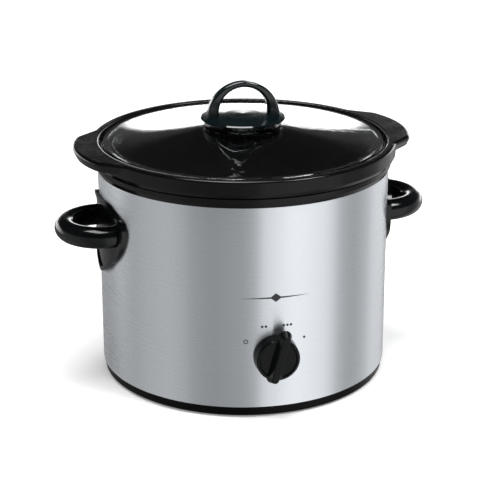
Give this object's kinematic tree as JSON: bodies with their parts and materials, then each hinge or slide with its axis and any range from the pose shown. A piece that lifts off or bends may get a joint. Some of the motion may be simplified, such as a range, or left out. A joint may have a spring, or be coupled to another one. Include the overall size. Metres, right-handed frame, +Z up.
{
  "type": "slow cooker",
  "caption": "Round manual slow cooker: brushed steel heating base with side handles and a rotary dial, lift-out stoneware crock with lugs, and domed glass lid with an arched handle.",
  "frame": {"origin": "on the pot's axis, on the surface that it stands on, in the middle of the base pan's foot rim; the four rubber feet stand 1 mm below that rim, at Z = 0", "axes": "+Z up along the pot's axis; -Y to the front, where the control knob is; X to the right seen from the front, 4.5 degrees from the axis of the two carrying handles"},
  "size_m": [0.2962, 0.2447, 0.2285],
  "materials": {
    "brushed_shell": "brushed round the body, satin",
    "black_enamel": "gloss black coating",
    "pan_black": "semi-gloss black",
    "gloss_black_plastic": "gloss",
    "knob_black_plastic": "satin",
    "lid_handle_plastic": "gloss",
    "foot_rubber": "matt",
    "gland_rubber": "satin",
    "seal_silicone": "translucent grey",
    "black_glaze": "gloss black glaze",
    "clear_glass": "clear",
    "zinc_steel": "bright zinc plate",
    "contact_brass": "bright",
    "switch_moulding": "matt dark moulding",
    "heater_cloth": "woven glass fibre",
    "lead_white": "satin white insulation",
    "lead_black": "satin black insulation",
    "fuse_metal": "bright",
    "print_black": "flat printed ink"
  },
  "bodies": {
    "base": {"outer_shell": "brushed_shell", "base_pan": "pan_black", "foot_rear_right": "foot_rubber", "foot_rear_left": "foot_rubber", "foot_front_left": "foot_rubber", "foot_front_right": "foot_rubber", "heating_well": "black_enamel", "tie_bracket_1": "zinc_steel", "tie_bracket_2": "zinc_steel", "tie_bracket_3": "zinc_steel", "base_screws": "zinc_steel", "right_handle": "gloss_black_plastic", "left_handle": "gloss_black_plastic", "right_handle_washers": "zinc_steel", "right_handle_screws": "zinc_steel", "left_handle_washers": "zinc_steel", "left_handle_screws": "zinc_steel", "switch_housing": "switch_moulding", "switch_cover": "switch_moulding", "switch_nut": "contact_brass", "switch_contacts": "contact_brass", "switch_terminals": "contact_brass", "heater_band": "heater_cloth", "heater_strap": "zinc_steel", "strap_tie": "zinc_steel", "heater_terminals": "contact_brass", "cord_gland": "gland_rubber", "crimp_joints": "lead_white", "thermal_fuse": "fuse_metal", "fuse_clip": "zinc_steel", "line_lead": "lead_black", "neutral_lead": "lead_white", "fuse_lead": "lead_white", "low_heat_lead": "lead_white", "high_heat_lead": "lead_black", "dial_marks": "print_black", "badge_mark": "print_black"},
    "knob": {"control_knob": "knob_black_plastic", "switch_shaft": "zinc_steel", "switch_cam": "switch_moulding"},
    "crock": {"stoneware_crock": "black_glaze"},
    "lid": {"glass_lid": "clear_glass", "lid_handle": "lid_handle_plastic", "lid_handle_pad": "seal_silicone", "lid_seal": "seal_silicone", "lid_washer": "zinc_steel", "lid_screw": "zinc_steel"}
  },
  "joints": [
    {"name": "knob_turn", "type": "hinge", "parent": "base", "child": "knob", "pos_m": [0, -0.112, 0.0494], "axis": [0, 1, 0], "range_deg": [-77, 46]},
    {"name": "crock_lift", "type": "slide", "parent": "base", "child": "crock", "axis": [0, 0, 1], "range_m": [0, 0.14]},
    {"name": "lid_lift", "type": "slide", "parent": "crock", "child": "lid", "axis": [0, 0, 1], "range_m": [0, 0.1]}
  ]
}
